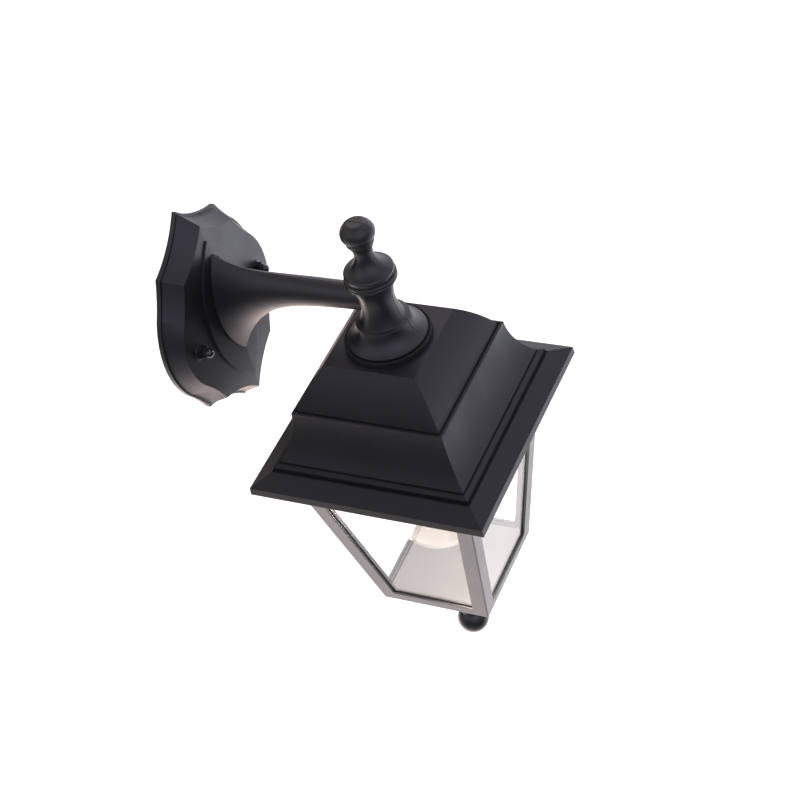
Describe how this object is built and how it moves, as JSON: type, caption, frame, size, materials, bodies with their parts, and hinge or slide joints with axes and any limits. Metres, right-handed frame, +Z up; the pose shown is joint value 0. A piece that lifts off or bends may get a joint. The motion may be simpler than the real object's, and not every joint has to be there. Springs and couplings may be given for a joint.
{
  "type": "outdoor wall lantern",
  "caption": "Black square-tapered wall lantern with clear panes and a lit bulb, hung under a curved roof from an arm on a pointed wall shield.",
  "frame": {"origin": "on the wall plane, midway between the two wall slots, at the middle of the shield's back", "axes": "+Z up, +Y into the wall, the lantern hangs out along -Y, X runs across the shield"},
  "size_m": [0.155, 0.2009, 0.3635],
  "materials": {
    "black_moulding": "satin",
    "seal_rubber": "matt",
    "plated_steel": "zinc plated",
    "black_nut": "gloss black",
    "terminal_white": "gloss",
    "brass": "plain",
    "lead_sheath": "satin",
    "holder_black": "satin",
    "ceramic": "glazed",
    "cap_metal": "rolled",
    "bulb_glass": "clear",
    "filament_wire": "glowing",
    "clear_pane": "clear",
    "floor_grey": "satin"
  },
  "bodies": {
    "root": {"wall_shield": "black_moulding", "arm_left_half": "black_moulding", "arm_right_half": "black_moulding", "roof_hood": "black_moulding", "lantern_cage": "black_moulding", "bottom_finial": "black_moulding", "wall_gasket": "seal_rubber", "inlet_grommet": "seal_rubber", "column_seal": "seal_rubber", "mounting_plate": "plated_steel", "arm_screws": "plated_steel", "tie_tube": "plated_steel", "tie_nuts": "plated_steel", "tie_washers": "plated_steel", "cage_screws": "plated_steel", "finial_screw": "plated_steel", "finial_washer": "plated_steel", "shield_studs": "plated_steel", "shield_nuts": "black_nut", "shield_washers": "black_nut", "terminal_block": "terminal_white", "terminal_screws": "brass", "holder_contact": "brass", "holder_shell": "brass", "lamp_lead": "lead_sheath", "holder_cap": "holder_black", "holder_skirt": "holder_black", "holder_insert": "ceramic", "bulb_cap": "cap_metal", "bulb_glass": "bulb_glass", "bulb_stem": "bulb_glass", "bulb_filament": "filament_wire", "pane_front": "clear_pane", "pane_back": "clear_pane", "pane_left": "clear_pane", "pane_right": "clear_pane", "bottom_plate": "floor_grey"}
  },
  "joints": []
}
